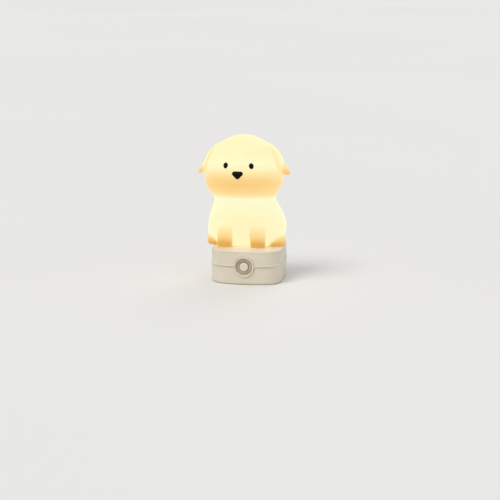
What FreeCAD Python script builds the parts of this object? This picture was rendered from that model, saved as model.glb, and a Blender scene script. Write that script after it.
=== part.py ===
import FreeCAD, Part
import math
import os

# Plug in night light: a sitting puppy of hollow silicone on a small two-shell base.
# Units are millimetres. Origin: centre of the back face, midway between the blades.
# +X is the object's right as seen from the front, +Y goes into the outlet, +Z is up.

Vec = FreeCAD.Vector
X_AXIS = Vec(1, 0, 0)
Y_AXIS = Vec(0, 1, 0)
Z_AXIS = Vec(0, 0, 1)

# Base case
HALF_WIDTH = 17.1
DEPTH = 29.0
CORNER_R = 8.5
BACK_R = 4.0
FRONT_R = 45.0
CASE_TOP = 7.6
CASE_BOTTOM = -8.9
WALL = 1.6
COVER_THICK = 1.1
COVER_LIP = 1.0
LIP_GAP = 0.15
TOP_EDGE_R = 0.5
BOTTOM_EDGE_R = 1.2
BEAD_OUT = 0.45
BEAD_TALL = 0.65
BEAD_R = 0.2
GROOVE_TALL = 0.22
GROOVE_DEEP = 0.6
SHELL_GAP = 0.05

# Collar that the silicone figure fits over
FIGURE_X = -1.2
COLLAR_Y = -9.2
COLLAR_A = 11.0
COLLAR_B = 5.0
COLLAR_WALL = 1.2
COLLAR_TOP = 11.0
COLLAR_FIT = 0.3
WIRE_HOLE_R = 2.2

# Mains blades
BLADE_PITCH = 12.7
BLADE_WIDE = 6.35
BLADE_THICK = 1.5
BLADE_OUT = 16.5
BLADE_IN = 6.0
BLADE_HOLE_R = 1.6
BLADE_HOLE_Y = 11.7
BLADE_CHAMFER = 1.5
BLADE_FIT = 0.03
BLADE_EDGE = 0.45
BLOCK_HALF_X = 10.5
BLOCK_HALF_Z = 4.5
BLOCK_THICK = 3.4
FLANGE_OUT = 1.2
FLANGE_THICK = 1.4

# Front control: bezel, light window ring, push button
BEZEL_R = 4.95
BEZEL_LIP_R = 4.45
BEZEL_HOLE_R = 3.95
BEZEL_PROUD = 0.55
BEZEL_GAP = 0.12
BEZEL_BACK = -26.9
BEZEL_FLANGE_R = 5.8
BEZEL_FLANGE_THICK = 0.6
RING_OUT_R = 3.65
RING_FLANGE_R = 3.93
RING_IN_R = 2.42
RING_FRONT = -28.3
RING_STEP = -27.9
RING_BACK = -27.4
BUTTON_R = 2.1
BUTTON_FRONT = -29.35
BUTTON_BACK = -26.5
BUTTON_FLANGE_R = 2.9
BUTTON_FLANGE_THICK = 0.6
SWITCH_HALF = 1.7
SWITCH_FRONT = -25.7
PLUNGER_R = 0.8
PLUNGER_FIT = 0.3
PLUNGER_IN = 0.4
PLUNGER_ROOM = 0.9
SENSOR_BOARD_Y = -23.6
SENSOR_BOARD_THICK = 1.0
SENSOR_BOARD_HALF_X = 6.0
SENSOR_BOARD_HALF_Z = 5.3
CELL_R = 0.9
CELL_ORBIT = 3.45
CELL_TALL = 1.1

# Main board and what stands on it
BOARD_Z = -4.6
BOARD_THICK = 1.2
BOARD_HALF_X = 12.6
BOARD_FRONT = -21.8
BOARD_BACK = -5.0
RAIL_X = 9.6
RAIL_THICK = 1.0
FILM_TALL = 7.4
CAN_X = 5.6
CAN_Y = -16.6
CAN_R = 3.1
CAN_TALL = 7.2
CAN_GROOVE_R = 0.35
PIN_THICK = 0.6
RESISTOR_Y = -8.4
RESISTOR_RISE = 1.5
RESISTOR_R = 1.1
LEAD_R = 0.25
CHIP_TALL = 1.7

# Case screws
SCREW_X = 12.4
SCREW_Y = -10.0
BOSS_R = 2.8
BOSS_TOP = -2.9
POST_R = 2.4
POST_TOP = 4.6
SCREW_R = 0.95
SCREW_HEAD_R = 1.9
SCREW_HEAD_TALL = 1.3
SCREW_SEAT = -6.3
SCREW_LONG = 7.0

# Lamp parts inside the collar
LED_BOARD_Z = 8.6
LED_BOARD_THICK = 0.8
LED_SIZE = 2.8
LED_TALL = 0.7
LED_PITCH = 5.2
DIFFUSER_TOP = 15.9
DIFFUSER_WALL = 0.9

# Silicone figure
SKIN = 2.2
FLOOR_THICK = 1.8
HEAD_X = -1.9
LEG_X = -2.95
LEG_OFFSET = 8.15
LEG_Y = -16.8
LEG_LEAN = 1.7
LEG_TOP = 18.0
LEG_SECTIONS = [(7.6, 3.3), (8.6, 4.0), (10.2, 4.1), (12.2, 3.9), (16.0, 3.5), (18.5, 3.3), (20.6, 1.6)]
FOOT_X = -1.6
FOOT_OFFSET = 15.1
FOOT_A = 4.3
FOOT_B = 5.4
FOOT_C = 4.8
FOOT_RISE = 2.0
FOOT_Y = -10.6
FACE_X = -2.4
FACE_Y = -16.25
FACE_WIDE = 18.1
FACE_DEEP = 14.2
EYE_OFFSET = 6.1
EYE_A = 1.2
EYE_B = 0.75
EYE_C = 1.5
EYE_Z = 49.1
NOSE_X = -2.7
NOSE_Z = 44.7
NOSE_HALF = 1.5
NOSE_ROUND = 1.1
NOSE_FRONT = -31.05
NOSE_DEEP = 3.2

# Height, half width, half depth, centre X and centre Y of the body and the head
FIGURE_SECTIONS = [
    (7.6, 15.4, 7.4, -1.2, -9.1),
    (9.4, 16.8, 8.1, -1.2, -9.5),
    (13.0, 18.3, 9.2, -1.2, -10.4),
    (18.0, 19.1, 10.3, -1.0, -11.5),
    (23.2, 18.0, 10.7, -1.1, -12.2),
    (27.5, 16.15, 10.5, -1.4, -12.9),
    (31.4, 15.1, 10.4, -1.9, -13.8),
    (34.6, 16.5, 11.9, -2.3, -14.8),
    (38.2, 18.5, 13.7, -2.2, -15.6),
    (43.0, 18.9, 14.5, -1.9, -16.2),
    (48.5, 18.2, 14.3, -1.9, -16.3),
    (53.4, 16.0, 12.9, -1.9, -16.2),
    (57.7, 12.2, 10.2, -1.9, -16.1),
    (60.6, 7.4, 6.3, -1.9, -16.0),
    (62.0, 2.9, 2.5, -1.9, -16.0),
]

# Ear path beside the head: outward distance, height, half thickness, half depth
EAR_SECTIONS = [
    (8.0, 58.4, 1.2, 3.8),
    (9.8, 57.5, 1.6, 4.8),
    (13.0, 55.0, 2.1, 6.0),
    (15.6, 51.7, 2.4, 6.6),
    (17.2, 48.2, 2.5, 6.4),
    (19.1, 45.2, 2.4, 5.4),
    (20.4, 44.2, 1.9, 4.4),
    (21.4, 43.5, 1.1, 3.0),
]
EAR_Y = -15.8


def box(x0, x1, y0, y1, z0, z1):
    return Part.makeBox(x1 - x0, y1 - y0, z1 - z0, Vec(x0, y0, z0))


def rod_z(x, y, z0, z1, radius):
    return Part.makeCylinder(radius, z1 - z0, Vec(x, y, z0), Z_AXIS)


def rod_y(x, z, y0, y1, radius):
    return Part.makeCylinder(radius, y1 - y0, Vec(x, y0, z), Y_AXIS)


def rod_x(y, z, x0, x1, radius):
    return Part.makeCylinder(radius, x1 - x0, Vec(x0, y, z), X_AXIS)


def ellipsoid(x, y, z, a, b, c):
    ball = Part.makeSphere(1.0)
    stretch = FreeCAD.Matrix()
    stretch.scale(a, b, c)
    solid = ball.transformGeometry(stretch)
    solid.translate(Vec(x, y, z))
    return solid


def oval_prism(x, y, z0, z1, a, b):
    edge = Part.Ellipse(Vec(x, y, z0), a, b).toShape()
    face = Part.Face(Part.Wire([edge]))
    return face.extrude(Vec(0, 0, z1 - z0))


def tube_path(points, radius):
    curve = Part.BSplineCurve()
    curve.interpolate([Vec(*p) for p in points])
    spine = Part.Wire([curve.toShape()])
    start = curve.value(curve.FirstParameter)
    heading = curve.tangent(curve.FirstParameter)[0]
    ring = Part.Wire([Part.Circle(start, heading, radius).toShape()])
    return spine.makePipeShell([ring], True, False)


# Plan of the case: straight back and sides, round corners, gently bowed front
def plan_face(inset, z):
    half = HALF_WIDTH - inset
    corner = CORNER_R - inset
    back_r = BACK_R - inset
    front_centre = FRONT_R - DEPTH
    corner_x = HALF_WIDTH - CORNER_R
    reach = FRONT_R - CORNER_R
    corner_y = front_centre - math.sqrt(reach ** 2 - corner_x ** 2)
    tilt = math.asin(corner_x / reach)
    join_x = corner_x + corner * math.sin(tilt)
    join_y = corner_y - corner * math.cos(tilt)
    mid_angle = (math.pi / 2 + tilt) / 2
    mid_x = corner_x + corner * math.sin(mid_angle)
    mid_y = corner_y - corner * math.cos(mid_angle)
    nose_y = front_centre - FRONT_R + inset
    back_x = HALF_WIDTH - BACK_R
    back_mid = back_r * math.sqrt(0.5)
    edges = []
    for side in (-1, 1):
        edges.append(Part.makeLine(Vec(side * half, -BACK_R, z), Vec(side * half, corner_y, z)))
        edges.append(Part.Arc(
            Vec(side * half, corner_y, z), Vec(side * mid_x, mid_y, z),
            Vec(side * join_x, join_y, z)
        ).toShape())
        edges.append(Part.Arc(
            Vec(side * half, -BACK_R, z), Vec(side * (back_x + back_mid), back_mid - BACK_R, z),
            Vec(side * back_x, -inset, z)
        ).toShape())
    edges.append(Part.Arc(
        Vec(join_x, join_y, z), Vec(0, nose_y, z), Vec(-join_x, join_y, z)
    ).toShape())
    edges.append(Part.makeLine(Vec(-back_x, -inset, z), Vec(back_x, -inset, z)))
    return Part.Face(Part.Wire(Part.__sortEdges__(edges)))


def plan_prism(inset, z0, z1):
    return plan_face(inset, z0).extrude(Vec(0, 0, z1 - z0))


def edges_at_height(solid, z):
    chosen = []
    for edge in solid.Edges:
        low = edge.BoundBox.ZMin
        high = edge.BoundBox.ZMax
        if abs(low - z) < 0.01 and abs(high - z) < 0.01:
            chosen.append(edge)
    return chosen


def block_window():
    gap = 0.1
    x = BLOCK_HALF_X + gap
    z = BLOCK_HALF_Z + gap
    return box(-x, x, -WALL - 0.5, 1, -z, z)


def control_hole():
    return rod_y(0, 0, -DEPTH - 2, -DEPTH + 5, BEZEL_R + BEZEL_GAP)


# Case shells
def make_upper_case():
    top = CASE_TOP - COVER_THICK
    shell = plan_prism(0, 0, top)
    bead = plan_prism(-BEAD_OUT, 0, BEAD_TALL)
    bead = bead.makeFillet(BEAD_R, edges_at_height(bead, BEAD_TALL))
    bead = bead.cut(box(-30, 30, 0, 5, -1, 2))
    shell = shell.fuse(bead)
    shell = shell.cut(plan_prism(WALL, -1, top + 1))
    for side in (-1, 1):
        post = rod_z(side * SCREW_X, SCREW_Y, BOSS_TOP + SHELL_GAP, POST_TOP, POST_R)
        near = side * (SCREW_X + POST_R - 0.4)
        wall_x = side * (HALF_WIDTH - 0.5)
        web = box(min(near, wall_x), max(near, wall_x), SCREW_Y - 1, SCREW_Y + 1, 0.6, POST_TOP)
        pilot = rod_z(side * SCREW_X, SCREW_Y, BOSS_TOP - 1, 2.4, SCREW_R)
        shell = shell.fuse(post).fuse(web).cut(pilot)
    shell = shell.cut(block_window()).cut(control_hole())
    return shell.removeSplitter()


def make_lower_case():
    room = plan_prism(WALL, CASE_BOTTOM + WALL, 1)
    wall = plan_prism(0, CASE_BOTTOM, -GROOVE_TALL)
    rim = edges_at_height(wall, CASE_BOTTOM)
    wall = wall.makeFillet(BOTTOM_EDGE_R, rim)
    wall = wall.cut(room).cut(control_hole()).cut(block_window())
    tongue = plan_prism(GROOVE_DEEP, -GROOVE_TALL - 0.5, -SHELL_GAP)
    tongue = tongue.cut(room).cut(control_hole()).cut(block_window())
    shell = wall.fuse(tongue)
    for side in (-1, 1):
        rail_x = side * RAIL_X
        rail = box(
            rail_x - RAIL_THICK / 2, rail_x + RAIL_THICK / 2,
            -19.5, -13.6, CASE_BOTTOM + 1, BOARD_Z
        )
        boss = rod_z(side * SCREW_X, SCREW_Y, CASE_BOTTOM + 1, BOSS_TOP, BOSS_R)
        shell = shell.fuse(rail).fuse(boss)
        through = rod_z(side * SCREW_X, SCREW_Y, CASE_BOTTOM - 1, 0, SCREW_R + 0.25)
        sink = rod_z(side * SCREW_X, SCREW_Y, CASE_BOTTOM - 1, SCREW_SEAT, SCREW_HEAD_R + 0.25)
        shell = shell.cut(through).cut(sink)
    return shell.removeSplitter()


def make_top_cover():
    low = CASE_TOP - COVER_THICK
    plate = plan_prism(0, low + SHELL_GAP, CASE_TOP)
    rim = edges_at_height(plate, CASE_TOP)
    plate = plate.makeFillet(TOP_EDGE_R, rim)
    lip_inset = WALL + LIP_GAP
    lip = plan_prism(lip_inset, low - 1.2, low + 0.3)
    lip = lip.cut(plan_prism(lip_inset + COVER_LIP, low - 2, low + 1))
    collar = oval_prism(FIGURE_X, COLLAR_Y, CASE_TOP - 0.3, COLLAR_TOP, COLLAR_A, COLLAR_B)
    bore = oval_prism(
        FIGURE_X, COLLAR_Y, CASE_TOP, COLLAR_TOP + 1,
        COLLAR_A - COLLAR_WALL, COLLAR_B - COLLAR_WALL
    )
    cover = plate.fuse(lip).fuse(collar).cut(bore)
    for side in (-1, 1):
        stand = rod_z(FIGURE_X + side * 6.6, COLLAR_Y, CASE_TOP - 0.3, LED_BOARD_Z, 1.0)
        cover = cover.fuse(stand)
    hole = rod_z(FIGURE_X, COLLAR_Y, low - 1, CASE_TOP + 1, WIRE_HOLE_R)
    notch = rod_y(0, 0, -DEPTH, -DEPTH + 5, BEZEL_FLANGE_R + 0.2)
    return cover.cut(hole).cut(notch).removeSplitter()


# Plug
def make_blade(side):
    x = side * BLADE_PITCH / 2
    half_t = BLADE_THICK / 2
    half_w = BLADE_WIDE / 2
    tip = BLADE_OUT
    taper = BLADE_OUT - BLADE_CHAMFER
    corners = [
        Vec(x - half_t, -BLADE_IN, -half_w),
        Vec(x - half_t, taper, -half_w),
        Vec(x - half_t, tip, -half_w + BLADE_CHAMFER),
        Vec(x - half_t, tip, half_w - BLADE_CHAMFER),
        Vec(x - half_t, taper, half_w),
        Vec(x - half_t, -BLADE_IN, half_w),
        Vec(x - half_t, -BLADE_IN, -half_w),
    ]
    blade = Part.Face(Part.makePolygon(corners)).extrude(Vec(BLADE_THICK, 0, 0))
    tip_edges = []
    for edge in blade.Edges:
        at_tip = edge.BoundBox.YMin > tip - 0.01
        if at_tip and edge.BoundBox.ZLength > 1:
            tip_edges.append(edge)
    blade = blade.makeChamfer(BLADE_EDGE, tip_edges)
    eye = rod_x(BLADE_HOLE_Y, 0, x - 2, x + 2, BLADE_HOLE_R)
    return blade.cut(eye)


def make_blade_block():
    plate = box(-BLOCK_HALF_X, BLOCK_HALF_X, -BLOCK_THICK, 0, -BLOCK_HALF_Z, BLOCK_HALF_Z)
    flange_x = BLOCK_HALF_X + FLANGE_OUT
    flange_y = -BLOCK_THICK + FLANGE_THICK
    flange = box(-flange_x, flange_x, -BLOCK_THICK, flange_y, -BLOCK_HALF_Z, BLOCK_HALF_Z)
    block = plate.fuse(flange)
    for side in (-1, 1):
        x = side * BLADE_PITCH / 2
        half_t = BLADE_THICK / 2 + BLADE_FIT
        half_w = BLADE_WIDE / 2 + BLADE_FIT
        block = block.cut(box(x - half_t, x + half_t, -9, 2, -half_w, half_w))
    return block.removeSplitter()


# Front control
def make_bezel_ring():
    front = -DEPTH - BEZEL_PROUD
    tube = rod_y(0, 0, front, BEZEL_BACK + BEZEL_FLANGE_THICK, BEZEL_R)
    outer_rim = [e for e in tube.Edges if e.BoundBox.YMax < front + 0.01]
    tube = tube.makeFillet(0.2, outer_rim)
    flange = rod_y(0, 0, BEZEL_BACK, BEZEL_BACK + BEZEL_FLANGE_THICK, BEZEL_FLANGE_R)
    dish = rod_y(0, 0, front - 1, -DEPTH + 0.1, BEZEL_LIP_R)
    hole = rod_y(0, 0, front - 1, BEZEL_BACK + 2, BEZEL_HOLE_R)
    return tube.fuse(flange).cut(dish).cut(hole).removeSplitter()


def make_sensor_lens_ring():
    disc = rod_y(0, 0, RING_FRONT, RING_BACK, RING_OUT_R)
    flange = rod_y(0, 0, RING_STEP, RING_BACK, RING_FLANGE_R)
    bore = rod_y(0, 0, RING_FRONT - 1, RING_BACK + 1, RING_IN_R)
    return disc.fuse(flange).cut(bore).removeSplitter()


def make_mode_button():
    cap = rod_y(0, 0, BUTTON_FRONT, BUTTON_BACK, BUTTON_R)
    rim = [e for e in cap.Edges if e.BoundBox.YMax < BUTTON_FRONT + 0.01]
    cap = cap.makeFillet(0.35, rim)
    flange = rod_y(0, 0, BUTTON_BACK - BUTTON_FLANGE_THICK, BUTTON_BACK, BUTTON_FLANGE_R)
    return cap.fuse(flange).removeSplitter()


def make_tact_switch():
    body = box(
        -SWITCH_HALF, SWITCH_HALF, SWITCH_FRONT, SENSOR_BOARD_Y, -SWITCH_HALF, SWITCH_HALF
    )
    well = rod_y(0, 0, SWITCH_FRONT - 1, SWITCH_FRONT + PLUNGER_IN + PLUNGER_ROOM,
                 PLUNGER_R + PLUNGER_FIT)
    return body.cut(well)


def make_tact_plunger():
    return rod_y(0, 0, BUTTON_BACK, SWITCH_FRONT + PLUNGER_IN, PLUNGER_R)


def make_sensor_board():
    return box(
        -SENSOR_BOARD_HALF_X, SENSOR_BOARD_HALF_X,
        SENSOR_BOARD_Y, SENSOR_BOARD_Y + SENSOR_BOARD_THICK,
        -SENSOR_BOARD_HALF_Z, SENSOR_BOARD_HALF_Z
    )


def make_photocell():
    x = CELL_ORBIT * math.cos(math.radians(45))
    z = -CELL_ORBIT * math.sin(math.radians(45))
    stem = rod_y(x, z, SENSOR_BOARD_Y - CELL_TALL, SENSOR_BOARD_Y, CELL_R)
    dome = ellipsoid(x, SENSOR_BOARD_Y - CELL_TALL, z, CELL_R, CELL_R, CELL_R)
    return stem.fuse(dome).removeSplitter()


# Electronics on the main board
def make_main_board():
    board = box(-BOARD_HALF_X, BOARD_HALF_X, BOARD_FRONT, BOARD_BACK, BOARD_Z, BOARD_Z + BOARD_THICK)
    for side in (-1, 1):
        board = board.cut(rod_z(side * SCREW_X, SCREW_Y, -8, 0, BOSS_R + 0.4))
        corner_x = side * BOARD_HALF_X
        corner = box(min(corner_x, side * 10.6), max(corner_x, side * 10.6),
                     BOARD_FRONT, BOARD_FRONT + 2.2, -8, 0)
        board = board.cut(corner)
    return board


def board_top():
    return BOARD_Z + BOARD_THICK


def make_film_capacitor():
    base = board_top()
    body = box(-9.2, -4.4, -20.5, -11.5, base, base + FILM_TALL)
    top_edges = edges_at_height(body, base + FILM_TALL)
    return body.makeFillet(0.6, top_edges)


def make_electrolytic_capacitor():
    base = board_top()
    can = rod_z(CAN_X, CAN_Y, base, base + CAN_TALL, CAN_R)
    crown = edges_at_height(can, base + CAN_TALL)
    can = can.makeFillet(0.5, crown)
    groove = Part.makeTorus(CAN_R + 0.2, CAN_GROOVE_R, Vec(CAN_X, CAN_Y, base + 1.6), Z_AXIS)
    return can.cut(groove)


def make_bridge_rectifier():
    base = board_top()
    body = box(-8.6, -3.9, -10.9, -7.1, base + 0.2, base + 2.6)
    for x in (-7.6, -5.4):
        for y in (-11.3, -7.2):
            body = body.fuse(box(x, x + 0.7, y, y + PIN_THICK, base, base + 0.9))
    return body.removeSplitter()


def make_fusible_resistor():
    base = board_top()
    axis_z = base + RESISTOR_RISE
    body = rod_x(RESISTOR_Y, axis_z, 1.2, 6.8, RESISTOR_R)
    for x0, x1, leg_x in ((0.3, 1.2, 0.5), (6.8, 7.7, 7.4)):
        lead = rod_x(RESISTOR_Y, axis_z, x0, x1, LEAD_R)
        leg = rod_z(leg_x, RESISTOR_Y, base, axis_z, LEAD_R)
        body = body.fuse(lead).fuse(leg)
    return body.removeSplitter()


def make_driver_chip():
    base = board_top()
    body = box(-2.4, 1.4, -17.6, -13.0, base + 0.15, base + CHIP_TALL)
    for y in (-16.9, -15.5, -14.1):
        body = body.fuse(box(-3.2, 2.2, y, y + 0.5, base, base + 0.6))
    return body.removeSplitter()


# Lamp
def make_led_board():
    plate = oval_prism(
        FIGURE_X, COLLAR_Y, LED_BOARD_Z, LED_BOARD_Z + LED_BOARD_THICK,
        COLLAR_A - COLLAR_WALL - 0.2, COLLAR_B - COLLAR_WALL - 0.2
    )
    return plate


def make_leds():
    chips = []
    low = LED_BOARD_Z + LED_BOARD_THICK
    for step in (-1, 0, 1):
        x = FIGURE_X + step * LED_PITCH
        half = LED_SIZE / 2
        chip = box(x - half, x + half, COLLAR_Y - half, COLLAR_Y + half, low, low + LED_TALL)
        lens = ellipsoid(x, COLLAR_Y, low + LED_TALL, 1.1, 1.1, 0.5)
        chips.append(chip.fuse(lens).removeSplitter())
    return Part.makeCompound(chips)


def make_inner_diffuser():
    outer = oval_prism(FIGURE_X, COLLAR_Y, COLLAR_TOP, DIFFUSER_TOP, COLLAR_A, COLLAR_B)
    outer = outer.makeFillet(2.0, edges_at_height(outer, DIFFUSER_TOP))
    inner = oval_prism(
        FIGURE_X, COLLAR_Y, COLLAR_TOP - 1, DIFFUSER_TOP - DIFFUSER_WALL,
        COLLAR_A - DIFFUSER_WALL, COLLAR_B - DIFFUSER_WALL
    )
    inner_top = edges_at_height(inner, DIFFUSER_TOP - DIFFUSER_WALL)
    inner = inner.makeFillet(1.2, inner_top)
    return outer.cut(inner)


# Wires and screws
def make_mains_wire(side):
    x_tab = side * BLADE_PITCH / 2
    x_pad = side * 10.3
    low = board_top() + 0.05
    path = [
        (x_tab, -6.6, 2.4), (side * 9.0, -6.9, 2.0),
        (x_pad, -6.2, -0.6), (x_pad, -6.2, low + 1.0), (x_pad, -6.2, low)
    ]
    return tube_path(path, 0.5)


def make_led_wires():
    wires = []
    top = board_top()
    for step in (-1, 1):
        x = FIGURE_X + step * 0.9
        path = [(x, COLLAR_Y, LED_BOARD_Z - 0.05), (x, COLLAR_Y, LED_BOARD_Z - 1.0),
                (x, COLLAR_Y, 4.0), (x, -11.2, top + 1.0), (x, -11.2, top + 0.05)]
        wires.append(tube_path(path, 0.4))
    return Part.makeCompound(wires)


def make_sensor_wires():
    wires = []
    top = board_top()
    back = SENSOR_BOARD_Y + SENSOR_BOARD_THICK
    for step in (-1, 1):
        x = step * 1.2 - 0.6
        path = [(x, back + 0.15, 2.6), (x, back + 0.9, 2.6), (x, back + 2.9, 0.4),
                (x, back + 3.1, top + 1.0), (x, back + 3.1, top + 0.05)]
        wires.append(tube_path(path, 0.35))
    return Part.makeCompound(wires)


def make_case_screws():
    screws = []
    for side in (-1, 1):
        x = side * SCREW_X
        head = rod_z(x, SCREW_Y, SCREW_SEAT - SCREW_HEAD_TALL, SCREW_SEAT, SCREW_HEAD_R)
        shank = rod_z(x, SCREW_Y, SCREW_SEAT, SCREW_SEAT + SCREW_LONG, SCREW_R - 0.02)
        slot_long = box(x - 1.2, x + 1.2, SCREW_Y - 0.25, SCREW_Y + 0.25,
                        SCREW_SEAT - 2, SCREW_SEAT - 0.7)
        slot_cross = box(x - 0.25, x + 0.25, SCREW_Y - 1.2, SCREW_Y + 1.2,
                         SCREW_SEAT - 2, SCREW_SEAT - 0.7)
        screws.append(head.fuse(shank).cut(slot_long).cut(slot_cross).removeSplitter())
    return Part.makeCompound(screws)


# Smooth closed skin through oval sections: each is a centre and two half-axis vectors
def skin_solid(sections):
    around = 12
    rows = []
    for centre, major, minor in sections:
        ring = []
        for i in range(around):
            angle = 2 * math.pi * i / around
            ring.append(centre + major * math.cos(angle) + minor * math.sin(angle))
        curve = Part.BSplineCurve()
        curve.interpolate(Points=ring, PeriodicFlag=True, Parameters=list(range(around + 1)))
        rows.append(curve)
    heights = [0.0]
    for i in range(1, len(sections)):
        step = (sections[i][0] - sections[i - 1][0]).Length
        heights.append(heights[-1] + step)
    columns = []
    for i in range(rows[0].NbPoles):
        line = Part.BSplineCurve()
        line.interpolate(Points=[row.getPole(i + 1) for row in rows], Parameters=heights)
        columns.append(line)
    surface = Part.BSplineSurface()
    surface.buildFromPolesMultsKnots(
        [column.getPoles() for column in columns],
        rows[0].getMultiplicities(), columns[0].getMultiplicities(),
        rows[0].getKnots(), columns[0].getKnots(),
        True, False, rows[0].Degree, columns[0].Degree
    )
    side = surface.toShape()
    faces = [side]
    for edge in side.Edges:
        if edge.isClosed():
            faces.append(Part.Face(Part.Wire([edge])))
    shell = Part.Shell(faces)
    shell.sewShape()
    solid = Part.makeSolid(shell)
    if solid.Volume < 0:
        solid.reverse()
    return solid


# Silicone figure
def figure_core(inset):
    rings = []
    for z, a, b, x, y in FIGURE_SECTIONS:
        at = z
        if inset > 0 and a < 5:
            continue
        if inset > 0 and z > 50:
            at = z - inset * (z - 50) / 13.0
        rings.append((Vec(x, y, at), X_AXIS * (a - inset), Y_AXIS * (b - inset)))
    return skin_solid(rings)


def make_ear(side):
    rings = []
    count = len(EAR_SECTIONS)
    for i in range(count):
        out, z, thick, deep = EAR_SECTIONS[i]
        before = EAR_SECTIONS[max(i - 1, 0)]
        after = EAR_SECTIONS[min(i + 1, count - 1)]
        along = Vec(side * (after[0] - before[0]), 0, after[1] - before[1])
        along.normalize()
        centre = Vec(HEAD_X + side * out, EAR_Y, z)
        rings.append((centre, Y_AXIS * deep, along.cross(Y_AXIS) * thick))
    return skin_solid(rings)


def make_leg(side):
    x = LEG_X + side * LEG_OFFSET
    rings = []
    for z, radius in LEG_SECTIONS:
        lean = LEG_LEAN * (z - CASE_TOP) / (LEG_TOP - CASE_TOP)
        rings.append((Vec(x, LEG_Y - lean, z), X_AXIS * radius, Y_AXIS * radius))
    return skin_solid(rings)


def make_foot(side):
    x = FOOT_X + side * FOOT_OFFSET
    foot = ellipsoid(x, FOOT_Y, CASE_TOP + FOOT_RISE, FOOT_A, FOOT_B, FOOT_C)
    floor = box(-40, 40, -40, 10, -10, CASE_TOP)
    return foot.cut(floor)


def make_figure_outside():
    figure = figure_core(0)
    for side in (-1, 1):
        figure = figure.fuse(make_ear(side))
        figure = figure.fuse(make_leg(side))
        figure = figure.fuse(make_foot(side))
    return figure


def make_puppy_shade(outside):
    room = figure_core(SKIN)
    low_cut = box(-60, 60, -60, 20, -10, CASE_TOP + FLOOR_THICK)
    room = room.cut(low_cut)
    mouth = oval_prism(
        FIGURE_X, COLLAR_Y, CASE_TOP - 1, CASE_TOP + FLOOR_THICK + 3,
        COLLAR_A + COLLAR_FIT, COLLAR_B + COLLAR_FIT
    )
    return outside.cut(room).cut(mouth)


def make_eye(side, outside):
    x = FACE_X + side * EYE_OFFSET
    front = FACE_Y - FACE_DEEP * math.sqrt(1 - ((x - HEAD_X) / FACE_WIDE) ** 2)
    ball = ellipsoid(x, front + 0.1, EYE_Z, EYE_A, EYE_B, EYE_C)
    return ball.cut(outside)


def make_nose(outside):
    left = Vec(NOSE_X - NOSE_HALF, NOSE_FRONT, NOSE_Z + 0.85)
    right = Vec(NOSE_X + NOSE_HALF, NOSE_FRONT, NOSE_Z + 0.85)
    low = Vec(NOSE_X, NOSE_FRONT, NOSE_Z - 0.7)
    face = Part.Face(Part.makePolygon([left, right, low, left]))
    pad = face.extrude(Vec(0, NOSE_DEEP, 0))
    soft = pad.makeOffsetShape(NOSE_ROUND, 0.01, join=0)
    return soft.cut(outside)


def save(shape, node):
    shape.exportStep("parts/" + node + ".step")


def build():
    os.makedirs("parts", exist_ok=True)
    outside = make_figure_outside()
    save(make_upper_case(), "upper_case")
    save(make_lower_case(), "lower_case")
    save(make_top_cover(), "top_cover")
    save(make_blade_block(), "blade_block")
    save(make_blade(-1), "neutral_blade")
    save(make_blade(1), "line_blade")
    save(make_bezel_ring(), "bezel_ring")
    save(make_sensor_lens_ring(), "sensor_lens_ring")
    save(make_mode_button(), "mode_button")
    save(make_tact_switch(), "tact_switch")
    save(make_tact_plunger(), "tact_plunger")
    save(make_sensor_board(), "sensor_board")
    save(make_photocell(), "photocell")
    save(make_main_board(), "main_board")
    save(make_film_capacitor(), "film_capacitor")
    save(make_electrolytic_capacitor(), "electrolytic_capacitor")
    save(make_bridge_rectifier(), "bridge_rectifier")
    save(make_fusible_resistor(), "fusible_resistor")
    save(make_driver_chip(), "driver_chip")
    save(make_led_board(), "led_board")
    save(make_leds(), "leds")
    save(make_inner_diffuser(), "inner_diffuser")
    save(make_mains_wire(-1), "neutral_wire")
    save(make_mains_wire(1), "line_wire")
    save(make_led_wires(), "led_wires")
    save(make_sensor_wires(), "sensor_wires")
    save(make_case_screws(), "case_screws")
    save(make_puppy_shade(outside), "puppy_shade")
    save(make_eye(-1, outside), "eye_left")
    save(make_eye(1, outside), "eye_right")
    save(make_nose(outside), "nose")


build()
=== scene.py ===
import math

import bpy
import numpy as np
from mathutils import Matrix, Vector


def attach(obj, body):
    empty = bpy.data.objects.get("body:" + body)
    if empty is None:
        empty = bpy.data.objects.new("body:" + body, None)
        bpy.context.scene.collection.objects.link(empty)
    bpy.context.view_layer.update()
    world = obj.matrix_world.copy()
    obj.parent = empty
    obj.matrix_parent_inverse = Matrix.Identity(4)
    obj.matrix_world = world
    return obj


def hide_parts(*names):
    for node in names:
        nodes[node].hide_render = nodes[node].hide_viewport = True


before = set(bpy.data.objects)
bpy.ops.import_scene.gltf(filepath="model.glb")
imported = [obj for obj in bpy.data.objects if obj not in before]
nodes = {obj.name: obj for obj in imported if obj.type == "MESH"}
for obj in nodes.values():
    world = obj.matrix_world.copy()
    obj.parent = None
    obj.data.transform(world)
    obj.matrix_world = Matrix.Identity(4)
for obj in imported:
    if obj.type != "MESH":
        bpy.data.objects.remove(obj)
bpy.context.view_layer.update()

MM = 0.001
scene = bpy.context.scene

# Camera: a little to the right of the front and a little above
AZIMUTH = math.radians(9.2)
ELEVATION = math.radians(12.0)
DISTANCE = 0.8
FOCAL_PX = 2.01 * 800
ANCHOR_PX = (253.3, 254.5)


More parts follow.
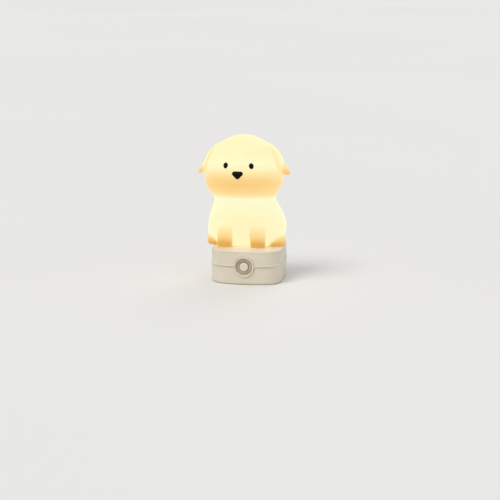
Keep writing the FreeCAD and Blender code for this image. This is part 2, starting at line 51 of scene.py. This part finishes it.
def make_camera():
    back = Vector((
        math.sin(AZIMUTH) * math.cos(ELEVATION),
        -math.cos(AZIMUTH) * math.cos(ELEVATION),
        math.sin(ELEVATION),
    ))
    right = Vector((math.cos(AZIMUTH), math.sin(AZIMUTH), 0))
    up = back.cross(right)
    off_x = (ANCHOR_PX[0] - 250) / FOCAL_PX
    off_y = -(ANCHOR_PX[1] - 250) / FOCAL_PX
    place = -DISTANCE * (-back + off_x * right + off_y * up)
    data = bpy.data.cameras.new("camera")
    data.sensor_width = 36
    data.lens = FOCAL_PX / 500 * 36
    data.clip_start = 0.01
    data.clip_end = 20
    cam = bpy.data.objects.new("camera", data)
    turn = Matrix((right, up, back)).transposed().to_4x4()
    cam.matrix_world = Matrix.Translation(place) @ turn
    scene.collection.objects.link(cam)
    scene.camera = cam


make_camera()


# Smooth values between design sections
def smooth_between(x, xs, ys):
    xs = np.asarray(xs, float)
    ys = np.asarray(ys, float)
    h = np.diff(xs)
    slope = np.diff(ys) / h
    m = np.zeros_like(ys)
    m[1:-1] = (slope[:-1] * h[1:] + slope[1:] * h[:-1]) / (h[1:] + h[:-1])
    m[0] = slope[0]
    m[-1] = slope[-1]
    i = np.clip(np.searchsorted(xs, x) - 1, 0, len(h) - 1)
    t = (x - xs[i]) / h[i]
    low = t < 0
    high = t > 1
    tc = np.clip(t, 0, 1)
    value = (
        (2 * tc ** 3 - 3 * tc ** 2 + 1) * ys[i]
        + (tc ** 3 - 2 * tc ** 2 + tc) * h[i] * m[i]
        + (-2 * tc ** 3 + 3 * tc ** 2) * ys[i + 1]
        + (tc ** 3 - tc ** 2) * h[i] * m[i + 1]
    )
    value = value + np.where(low, t * h[i] * m[0], 0)
    return value + np.where(high, (t - 1) * h[i] * m[-1], 0)


# The silicone puppy, in mm: height, half width, half depth, centre X, centre Y
CORE = [
    (7.6, 15.4, 7.4, -1.2, -9.1),
    (9.4, 16.8, 8.1, -1.2, -9.5),
    (13.0, 18.3, 9.2, -1.2, -10.4),
    (18.0, 19.1, 10.3, -1.0, -11.5),
    (23.2, 18.0, 10.7, -1.1, -12.2),
    (27.5, 16.15, 10.5, -1.4, -12.9),
    (31.4, 15.1, 10.4, -1.9, -13.8),
    (34.6, 16.5, 11.9, -2.3, -14.8),
    (38.2, 18.5, 13.7, -2.2, -15.6),
    (43.0, 18.9, 14.5, -1.9, -16.2),
    (48.5, 18.2, 14.3, -1.9, -16.3),
    (53.4, 16.0, 12.9, -1.9, -16.2),
    (57.7, 12.2, 10.2, -1.9, -16.1),
    (60.6, 7.4, 6.3, -1.9, -16.0),
    (62.0, 2.9, 2.5, -1.9, -16.0),
]
CASE_TOP = 7.6
SKIN = 2.2
HEAD_X = -1.9
# Ear flap over the side of the head, from top to tip: height, outward reach, front edge Y
EAR = [
    (60.4, 6.0, -16.0),
    (59.2, 8.6, -17.0),
    (58.1, 12.1, -18.4),
    (56.7, 14.45, -19.8),
    (55.0, 16.2, -21.4),
    (52.5, 17.95, -22.4),
    (49.4, 19.35, -22.8),
    (46.7, 20.8, -22.2),
    (43.9, 22.5, -20.7),
    (42.4, 22.8, -19.8),
]
EAR_MID = -15.5
EAR_LOW = 43.1
EAR_PROUD = 1.2
LEG_X = -2.95
LEG_OFFSET = 8.15
LEG_Y = -16.8
LEG = [(7.6, 3.3), (8.6, 4.0), (10.2, 4.1), (12.2, 3.9), (16.0, 3.5), (18.5, 3.3), (20.6, 1.6)]
LEG_LEAN = 1.7 / 10.8
FOOT_X = -1.6
FOOT_OFFSET = 15.1
FOOT_Y = -10.6
FOOT_A = 4.3
HIP_X = -1.65
HIP_OFFSET = 13.15
HIP_A = 5.6
TOP_Z = 62.25
FLOOR_Z = -8.9


def scaled(field, step):
    gx, gy, gz = np.gradient(field, step)
    size = np.sqrt(gx ** 2 + gy ** 2 + gz ** 2)
    return field / np.maximum(size, 1e-3)


def soft_union(a, b, k):
    h = np.clip(0.5 + 0.5 * (b - a) / k, 0, 1)
    return b * (1 - h) + a * h - k * h * (1 - h)


def core_field(x, y, z, inset):
    zs = [row[0] for row in CORE]
    wide = np.array([row[1] for row in CORE]) - inset
    deep = np.array([row[2] for row in CORE]) - inset
    top = TOP_Z
    if inset > 0:
        zs = [v if v < 50 else v - inset * (v - 50) / 13 for v in zs]
        top = top - inset
    zs = zs + [top]
    a2 = smooth_between(z, zs, list(np.sign(wide) * wide ** 2) + [0.0])
    ratio = smooth_between(z, zs, list(wide / deep) + [wide[-1] / deep[-1]])
    cx = smooth_between(z, zs, [row[3] for row in CORE] + [CORE[-1][3]])
    cy = smooth_between(z, zs, [row[4] for row in CORE] + [CORE[-1][4]])
    return (x - cx) ** 2 + ((y - cy) * ratio) ** 2 - a2


def strand_field(x, y, z, points):
    best = None
    for p, q in zip(points[:-1], points[1:]):
        a = np.array(p[:3])
        d = np.array(q[:3]) - a
        t = ((x - a[0]) * d[0] + (y - a[1]) * d[1] + (z - a[2]) * d[2]) / d.dot(d)
        t = np.clip(t, 0, 1)
        gap = np.sqrt(
            (x - a[0] - t * d[0]) ** 2 + (y - a[1] - t * d[1]) ** 2 + (z - a[2] - t * d[2]) ** 2
        )
        value = gap - (p[3] + t * (q[3] - p[3]))
        best = value if best is None else np.minimum(best, value)
    return best


def foot_size(x, y, z, side):
    foot_x = FOOT_X + side * FOOT_OFFSET
    return np.sqrt(
        ((x - foot_x) / FOOT_A) ** 2
        + ((y - FOOT_Y) / 5.4) ** 2
        + ((z - CASE_TOP - 2.0) / 4.8) ** 2
    )


def ear_field(x, y, z, side, step):
    heights = [row[0] for row in EAR[::-1]]
    reach = smooth_between(z, heights, [row[1] for row in EAR[::-1]])
    front = smooth_between(z, heights, [row[2] for row in EAR[::-1]])
    zs = [row[0] for row in CORE]
    deep = smooth_between(z, zs, [row[2] for row in CORE]) + EAR_PROUD
    cy = smooth_between(z, zs, [row[4] for row in CORE])
    plan = ((x - HEAD_X) / np.maximum(reach, 1)) ** 2 + ((y - cy) / np.maximum(deep, 1)) ** 2
    flap = scaled(plan - 1, step)
    flap = -soft_union(-flap, -(front - y), 1.2)
    flap = -soft_union(-flap, -(y - 2 * EAR_MID + front), 1.2)
    low = EAR_LOW + 0.06 * (y - EAR_MID) ** 2
    flap = -soft_union(-flap, -(low - z), 1.4)
    flap = np.maximum(flap, z - 60.6)
    return np.maximum(flap, 3 - side * (x - HEAD_X))


def puppy_field(x, y, z, step):
    core = scaled(core_field(x, y, z, 0), step)
    body = core
    for side in (-1, 1):
        hip_x = HIP_X + side * HIP_OFFSET
        hip = np.sqrt(
            ((x - hip_x) / HIP_A) ** 2 + ((y + 10.4) / 7.4) ** 2 + ((z - 14.5) / 8.5) ** 2
        )
        body = soft_union(body, (hip - 1) * HIP_A, 1.2)
    for side in (-1, 1):
        body = soft_union(body, ear_field(x, y, z, side, step), 0.3)
        leg_x = LEG_X + side * LEG_OFFSET
        leg = [(leg_x, LEG_Y - LEG_LEAN * (h - CASE_TOP), h, r) for h, r in LEG]
        shaft = strand_field(x, y, z, leg)
        body = soft_union(body, shaft, 0.9)
        foot_x = FOOT_X + side * FOOT_OFFSET
        foot = foot_size(x, y, z, side)
        body = soft_union(body, (foot - 1) * FOOT_A, 0.6)
        for toe in (-1, 1):
            cut_x = leg_x + toe * 1.25
            groove = strand_field(
                x, y, z,
                [(cut_x, LEG_Y - 4.15, 7.0, 0.42), (cut_x, LEG_Y - 4.1, 9.6, 0.38),
                 (cut_x, LEG_Y - 3.2, 10.9, 0.1)]
            )
            body = -soft_union(-body, groove, 0.35)
            cut_x = foot_x + toe * 1.35
            groove = strand_field(
                x, y, z,
                [(cut_x, FOOT_Y - 5.5, 7.0, 0.42), (cut_x, FOOT_Y - 5.3, 9.4, 0.38),
                 (cut_x, FOOT_Y - 4.2, 11.2, 0.1)]
            )
            body = -soft_union(-body, groove, 0.35)
    body = np.maximum(body, CASE_TOP - z)
    room = scaled(core_field(x, y, z, SKIN), step)
    room = np.maximum(room, CASE_TOP + 1.8 - z)
    mouth = (np.sqrt(((x + 1.2) / 11.3) ** 2 + ((y + 9.2) / 5.3) ** 2) - 1) * 5.3
    mouth = np.maximum(mouth, z - CASE_TOP - 4)
    room = np.minimum(room, mouth)
    return core, body, np.maximum(body, -room)


# Closed quad mesh where the field changes sign
def surface_net(field, origin, step):
    inside = field < 0
    nx, ny, nz = field.shape
    corners = [(i, j, k) for i in (0, 1) for j in (0, 1) for k in (0, 1)]
    count = np.zeros((nx - 1, ny - 1, nz - 1), np.int8)
    for i, j, k in corners:
        count += inside[i:nx - 1 + i, j:ny - 1 + j, k:nz - 1 + k]
    active = (count > 0) & (count < 8)
    cells = np.argwhere(active)
    index = -np.ones(active.shape, np.int64)
    index[active] = np.arange(len(cells))
    total = np.zeros((len(cells), 3))
    hits = np.zeros(len(cells))
    for a in corners:
        for axis in range(3):
            if a[axis]:
                continue
            b = list(a)
            b[axis] = 1
            fa = field[cells[:, 0] + a[0], cells[:, 1] + a[1], cells[:, 2] + a[2]]
            fb = field[cells[:, 0] + b[0], cells[:, 1] + b[1], cells[:, 2] + b[2]]
            cross = (fa < 0) != (fb < 0)
            t = np.where(cross, fa / np.where(fa == fb, 1, fa - fb), 0)
            point = np.tile(np.array(a, float), (len(cells), 1))
            point[:, axis] += t
            total += point * cross[:, None]
            hits += cross
    verts = origin + step * (cells + total / hits[:, None])
    faces = []
    for axis in range(3):
        u, v = [n for n in range(3) if n != axis]
        lo = [slice(None)] * 3
        hi = [slice(None)] * 3
        lo[axis] = slice(0, -1)
        hi[axis] = slice(1, None)
        a = inside[tuple(lo)]
        b = inside[tuple(hi)]
        edges = np.argwhere(a != b)
        keep = (edges[:, u] > 0) & (edges[:, v] > 0)
        for w in (u, v):
            keep &= edges[:, w] < field.shape[w] - 1
        edges = edges[keep]
        out = a[edges[:, 0], edges[:, 1], edges[:, 2]]
        quad = []
        for du, dv in ((1, 1), (0, 1), (0, 0), (1, 0)):
            c = edges.copy()
            c[:, u] -= du
            c[:, v] -= dv
            quad.append(index[c[:, 0], c[:, 1], c[:, 2]])
        quad = np.stack(quad, 1)
        flip = out if axis != 1 else ~out
        quad[~flip] = quad[~flip][:, ::-1]
        faces.append(quad)
    return verts, np.concatenate(faces)


def sample(field, points, origin, step):
    g = (points - origin) / step
    g = np.clip(g, 0, np.array(field.shape) - 1.001)
    i = g.astype(int)
    t = g - i
    value = 0
    for a in (0, 1):
        for b in (0, 1):
            for c in (0, 1):
                w = (t[:, 0] if a else 1 - t[:, 0]) * (t[:, 1] if b else 1 - t[:, 1])
                w = w * (t[:, 2] if c else 1 - t[:, 2])
                value = value + w * field[i[:, 0] + a, i[:, 1] + b, i[:, 2] + c]
    return value


def ramp(x, a, b):
    t = np.clip((x - a) / (b - a), 0, 1)
    return t * t * (3 - 2 * t)


def make_puppy():
    step = 0.4
    low = np.array([-26.5, -33.0, 6.2])
    high = np.array([22.5, 0.6, 64.4])
    size = np.ceil((high - low) / step).astype(int) + 1
    x, y, z = np.meshgrid(*[low[n] + step * np.arange(size[n]) for n in range(3)], indexing="ij")
    core, solid, field = puppy_field(x, y, z, step)
    verts, faces = surface_net(field, low, step)
    mesh = bpy.data.meshes.new("puppy_skin")
    mesh.from_pydata((verts * MM).tolist(), [], faces.tolist())
    mesh.validate()
    mesh.polygons.foreach_set("use_smooth", [True] * len(mesh.polygons))

    # How deep orange the glow is, painted per vertex from the shape. Painted shade sits under the
    # chin, toward the crown and along the front of the ear flaps. Painted darker glow runs down the
    # legs, feet and ear tips, where the silicone is thick. The front of the body is painted deeper,
    # with lighter sides.
    vx, vy, vz = verts.T
    proud = sample(core, verts, low, step)
    grad = [sample(g, verts, low, step) for g in np.gradient(solid, step)]
    length = np.sqrt(sum(g ** 2 for g in grad)) + 1e-6
    front = np.clip(-grad[1] / length, 0, 1)
    # Painted darker glow down the front of the legs and on the feet, deepest at the bottom.
    leg_shade = np.zeros(len(verts))
    foot_shade = np.zeros(len(verts))
    for side in (-1, 1):
        leg_x = LEG_X + side * LEG_OFFSET
        near = 1 - ramp(np.abs(vx - leg_x), 3.3, 4.3)
        near = near * (1 - ramp(vy, -17.5, -15.5))
        tall = np.interp(vz, [8.5, 9.6, 12.3, 15.5, 19.0], [1.5, 1.45, 1.0, 0.45, 0.0])
        leg_shade = np.maximum(leg_shade, near * tall)
        foot = foot_size(vx, vy, vz, side)
        near = 1 - ramp(foot, 1.02, 1.35)
        tall = np.interp(vz, [8.2, 9.2, 11.2, 12.6, 14.6], [1.5, 1.35, 0.95, 0.5, 0.0])
        foot_shade = np.maximum(foot_shade, near * tall)
    out = np.abs(vx - HEAD_X)
    # Painted shade on the ear flaps: along their front faces below the crown, and darker ear tips.
    flap = ramp(proud, 0.3, 0.7) * ramp(vz, 42.0, 43.5)
    tip = (1 - ramp(vz, 44.5, 51.5)) * ramp(out, 17.0, 20.6)
    ear_shade = flap * np.maximum(0.42 * front * (1 - ramp(vz, 54.0, 60.0)), 1.15 * tip)
    # Painted shade under the chin: a band across the lower face and jaw, set lower on the sides.
    chin_shade = np.interp(
        vz + 2.2 * (1 - front),
        [32.4, 34.2, 36.4, 39.5, 42.0, 44.6, 47.3, 50.0],
        [0.0, 0.45, 0.9, 1.0, 0.95, 0.6, 0.2, 0.0],
    )
    chin_shade = chin_shade * (0.66 + 0.44 * front) * (1 - flap)
    # Painted darker glow toward the crown.
    crown_shade = 0.17 * ramp(vz, 50.0, 56.0)
    # Painted: the front of the body below the chin is deeper orange and its sides lighter.
    belly_shade = np.interp(vz, [7.0, 22.0, 31.0], [0.22, 0.22, 0.0]) * front ** 2 - 0.1
    belly_shade = np.where(vz < 33.0, belly_shade, 0.0)
    deep = chin_shade + crown_shade + belly_shade + np.maximum(np.maximum(leg_shade, foot_shade), ear_shade)
    deep = np.clip((deep + 0.15) / 1.65, 0, 1)
    attr = mesh.attributes.new("deep", "FLOAT", "POINT")
    attr.data.foreach_set("value", deep.astype(np.float32))
    puppy = bpy.data.objects.new("puppy_skin", mesh)
    scene.collection.objects.link(puppy)
    smooth = puppy.modifiers.new("smooth", "SMOOTH")
    smooth.factor = 0.5
    smooth.iterations = 3
    return puppy


# Materials
class Shade:
    def __init__(self, name):
        self.mat = bpy.data.materials.new(name)
        self.mat.use_nodes = True
        self.tree = self.mat.node_tree
        self.bsdf = self.tree.nodes["Principled BSDF"]

    def node(self, kind, **values):
        made = self.tree.nodes.new(kind)
        for key, value in values.items():
            setattr(made, key, value)
        return made

    def link(self, a, b):
        self.tree.links.new(a, b)

    def noise(self, scale, detail=3.0, rough=0.55):
        coord = self.node("ShaderNodeTexCoord")
        noise = self.node("ShaderNodeTexNoise")
        noise.inputs["Scale"].default_value = scale
        noise.inputs["Detail"].default_value = detail
        noise.inputs["Roughness"].default_value = rough
        self.link(coord.outputs["Object"], noise.inputs["Vector"])
        return noise

    def ramp(self, source, stops):
        ramp = self.node("ShaderNodeValToRGB")
        items = ramp.color_ramp.elements
        while len(items) < len(stops):
            items.new(0.5)
        for item, (pos, colour) in zip(items, stops):
            item.position = pos
            item.color = (*colour, 1)
        self.link(source, ramp.inputs["Fac"])
        return ramp.outputs["Color"]

    def bump(self, source, strength, distance):
        bump = self.node("ShaderNodeBump")
        bump.inputs["Strength"].default_value = strength
        bump.inputs["Distance"].default_value = distance
        self.link(source, bump.inputs["Height"])
        self.link(bump.outputs["Normal"], self.bsdf.inputs["Normal"])

    def rough(self, source, low, high):
        spread = self.node("ShaderNodeMapRange")
        spread.inputs["To Min"].default_value = low
        spread.inputs["To Max"].default_value = high
        self.link(source, spread.inputs["Value"])
        self.link(spread.outputs["Result"], self.bsdf.inputs["Roughness"])


def linear(r, g, b):
    def one(v):
        v = v / 255
        return v / 12.92 if v <= 0.04045 else ((v + 0.055) / 1.055) ** 2.4
    return (one(r), one(g), one(b))


def plastic(name, dark, light, scale=900.0, low=0.3, high=0.42, bump=0.08, shine=0.4):
    s = Shade(name)
    s.bsdf.inputs["Specular IOR Level"].default_value = shine
    cloud = s.noise(60.0, 2.0)
    s.link(s.ramp(cloud.outputs["Fac"], [(0.3, dark), (0.7, light)]), s.bsdf.inputs["Base Color"])
    grain = s.noise(scale, 3.0)
    s.rough(grain.outputs["Fac"], low, high)
    s.bump(grain.outputs["Fac"], bump, 0.0001)
    return s.mat


def metal(name, dark, light, low=0.18, high=0.36):
    s = Shade(name)
    s.bsdf.inputs["Metallic"].default_value = 1.0
    coord = s.node("ShaderNodeTexCoord")
    stretch = s.node("ShaderNodeMapping")
    stretch.inputs["Scale"].default_value = (900, 60, 900)
    s.link(coord.outputs["Object"], stretch.inputs["Vector"])
    lines = s.node("ShaderNodeTexNoise")
    lines.inputs["Scale"].default_value = 1.5
    lines.inputs["Detail"].default_value = 4.0
    s.link(stretch.outputs["Vector"], lines.inputs["Vector"])
    s.link(s.ramp(lines.outputs["Fac"], [(0.3, dark), (0.7, light)]), s.bsdf.inputs["Base Color"])
    s.rough(lines.outputs["Fac"], low, high)
    s.bump(lines.outputs["Fac"], 0.12, 0.00005)
    return s.mat


def glow_material():
    s = Shade("silicone_glow")
    # The emission colour and the base tint follow the painted glow shading in the 'deep' attribute,
    # from bright cream to painted deep orange.
    deep = s.node("ShaderNodeAttribute", attribute_name="deep")
    cloud = s.noise(170.0, 3.0)
    blend = s.node("ShaderNodeMath", operation="MULTIPLY_ADD")
    blend.inputs[1].default_value = 0.05
    s.link(cloud.outputs["Fac"], blend.inputs[0])
    s.link(deep.outputs["Fac"], blend.inputs[2])
    shift = s.node("ShaderNodeMath", operation="SUBTRACT")
    shift.inputs[1].default_value = 0.025
    s.link(blend.outputs["Value"], shift.inputs[0])
    stops = [
        (0.0, linear(252, 253, 216)),
        (0.09, linear(253, 249, 202)),
        (0.18, linear(254, 244, 191)),
        (0.33, linear(253, 234, 172)),
        (0.52, linear(253, 223, 153)),
        (0.70, linear(252, 211, 133)),
        (0.85, linear(243, 192, 109)),
        (1.0, linear(224, 168, 80)),
    ]
    colour = s.ramp(shift.outputs["Value"], stops)
    s.link(colour, s.bsdf.inputs["Emission Color"])
    s.bsdf.inputs["Emission Strength"].default_value = 0.88
    # The base tint also darkens with the painted shade.
    tint_stops = [(0.0, linear(112, 102, 76)), (1.0, linear(96, 72, 42))]
    tint = s.ramp(shift.outputs["Value"], tint_stops)
    s.link(tint, s.bsdf.inputs["Base Color"])
    s.bsdf.inputs["Specular IOR Level"].default_value = 0.35
    grain = s.noise(1500.0, 2.0)
    s.rough(grain.outputs["Fac"], 0.42, 0.58)
    s.bump(grain.outputs["Fac"], 0.1, 0.0001)
    return s.mat


def give(name, mat):
    obj = nodes[name]
    obj.data.materials.clear()
    obj.data.materials.append(mat)


def dress_nodes():
    shell = plastic("case_plastic", linear(232, 222, 201), linear(238, 229, 209))
    for name in ("upper_case", "lower_case", "top_cover", "bezel_ring", "mode_button"):
        give(name, shell)
    give("blade_block", plastic("block_plastic", linear(214, 208, 194), linear(226, 221, 208)))
    nickel = metal("nickel_plate", linear(176, 166, 148), linear(214, 206, 190))
    for name in ("line_blade", "neutral_blade"):
        give(name, nickel)
    milky = plastic("window_plastic", linear(196, 183, 156), linear(207, 194, 168), 700, 0.2, 0.32)
    for name in ("sensor_lens_ring", "photocell"):
        give(name, milky)
    black = plastic("moulded_black", linear(30, 29, 28), linear(44, 42, 40), 1200, 0.35, 0.5)
    for name in ("tact_switch", "tact_plunger", "electrolytic_capacitor", "bridge_rectifier",
                 "driver_chip"):
        give(name, black)
    board = plastic("board_mask", linear(20, 84, 46), linear(34, 108, 60), 400, 0.25, 0.4)
    for name in ("main_board", "sensor_board"):
        give(name, board)
    give("film_capacitor", plastic("dipped_ochre", linear(176, 120, 40), linear(198, 142, 58)))
    give("fusible_resistor", plastic("resistor_coat", linear(96, 130, 150), linear(120, 152, 168)))
    give("led_board", plastic("white_board", linear(226, 226, 220), linear(238, 238, 232)))
    frost = plastic("frosted", linear(240, 232, 206), linear(248, 242, 220), 1500, 0.5, 0.65)
    give("inner_diffuser", frost)
    lamp = Shade("led_phosphor")
    cell = lamp.noise(2500.0)
    stops = [(0.2, linear(250, 214, 120)), (0.8, linear(255, 236, 160))]
    lamp_colour = lamp.ramp(cell.outputs["Fac"], stops)
    lamp.link(lamp_colour, lamp.bsdf.inputs["Base Color"])
    lamp.link(lamp_colour, lamp.bsdf.inputs["Emission Color"])
    lamp.bsdf.inputs["Emission Strength"].default_value = 1.0
    give("leds", lamp.mat)
    give("neutral_wire", plastic("wire_pale", linear(220, 220, 214), linear(234, 234, 228)))
    give("line_wire", plastic("wire_dark", linear(26, 26, 26), linear(40, 40, 40)))
    red = plastic("wire_red", linear(160, 26, 20), linear(184, 40, 30))
    for name in ("led_wires", "sensor_wires"):
        give(name, red)
    give("case_screws", metal("zinc_plate", linear(150, 152, 156), linear(196, 198, 204)))
    matte = plastic("face_black", linear(5, 3, 2), linear(9, 6, 4), 900, 0.45, 0.6, 0.04, 0.12)
    for name in ("eye_left", "eye_right", "nose"):
        give(name, matte)


# Stage and light
def make_stage():
    mesh = bpy.data.meshes.new("floor")
    z = FLOOR_Z * MM
    half = 4.0
    mesh.from_pydata(
        [(-half, -half, z), (half, -half, z), (half, half, z), (-half, half, z)], [], [(0, 1, 2, 3)]
    )
    floor = bpy.data.objects.new("floor", mesh)
    scene.collection.objects.link(floor)
    s = Shade("pale_floor")
    cloud = s.noise(2.0)
    fac = cloud.outputs["Fac"]
    tone = s.ramp(fac, [(0.3, linear(226, 224, 220)), (0.7, linear(230, 228, 224))])
    seen = s.ramp(fac, [(0.3, linear(238, 237, 234)), (0.7, linear(241, 240, 237))])
    path = s.node("ShaderNodeLightPath")
    pick = s.node("ShaderNodeMix", data_type="RGBA")
    s.link(path.outputs["Is Camera Ray"], pick.inputs["Factor"])
    s.link(tone, pick.inputs[6])
    s.link(seen, pick.inputs[7])
    s.link(pick.outputs[2], s.bsdf.inputs["Base Color"])
    s.bsdf.inputs["Roughness"].default_value = 0.8
    s.bsdf.inputs["Specular IOR Level"].default_value = 0.1
    mesh.materials.append(s.mat)


def make_world():
    world = bpy.data.worlds.new("studio")
    scene.world = world
    world.use_nodes = True
    tree = world.node_tree
    base = tree.nodes["Background"]
    base.inputs["Color"].default_value = (0.92, 0.95, 1.0, 1)
    base.inputs["Strength"].default_value = 0.5
    seen = tree.nodes.new("ShaderNodeBackground")
    seen.inputs["Color"].default_value = (0.80, 0.79, 0.77, 1)
    seen.inputs["Strength"].default_value = 1.0
    path = tree.nodes.new("ShaderNodeLightPath")
    either = tree.nodes.new("ShaderNodeMath")
    either.operation = "MAXIMUM"
    tree.links.new(path.outputs["Is Camera Ray"], either.inputs[0])
    tree.links.new(path.outputs["Is Glossy Ray"], either.inputs[1])
    mix = tree.nodes.new("ShaderNodeMixShader")
    out = tree.nodes["World Output"]
    tree.links.new(either.outputs["Value"], mix.inputs["Fac"])
    tree.links.new(base.outputs["Background"], mix.inputs[1])
    tree.links.new(seen.outputs["Background"], mix.inputs[2])
    tree.links.new(mix.outputs["Shader"], out.inputs["Surface"])


def soft_sun(name, place, strength, spread, colour):
    data = bpy.data.lights.new(name, "SUN")
    data.energy = strength
    data.angle = math.radians(spread)
    data.color = colour
    lamp = bpy.data.objects.new(name, data)
    lamp.location = place
    lamp.rotation_euler = (-Vector(place)).to_track_quat("-Z", "Y").to_euler()
    scene.collection.objects.link(lamp)


def make_lights():
    soft_sun("key", (-0.5, -0.65, 1.2), 1.3, 30, (1.0, 0.97, 0.93))
    soft_sun("fill", (0.8, -0.6, 0.5), 0.25, 60, (0.95, 0.97, 1.0))
    soft_sun("rim", (0.2, 0.8, 0.9), 0.4, 40, (1.0, 0.98, 0.95))


puppy = make_puppy()
puppy.data.materials.append(glow_material())
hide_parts("puppy_shade")
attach(puppy, "shade")
dress_nodes()
make_stage()
make_world()
make_lights()

scene.view_settings.view_transform = "Standard"
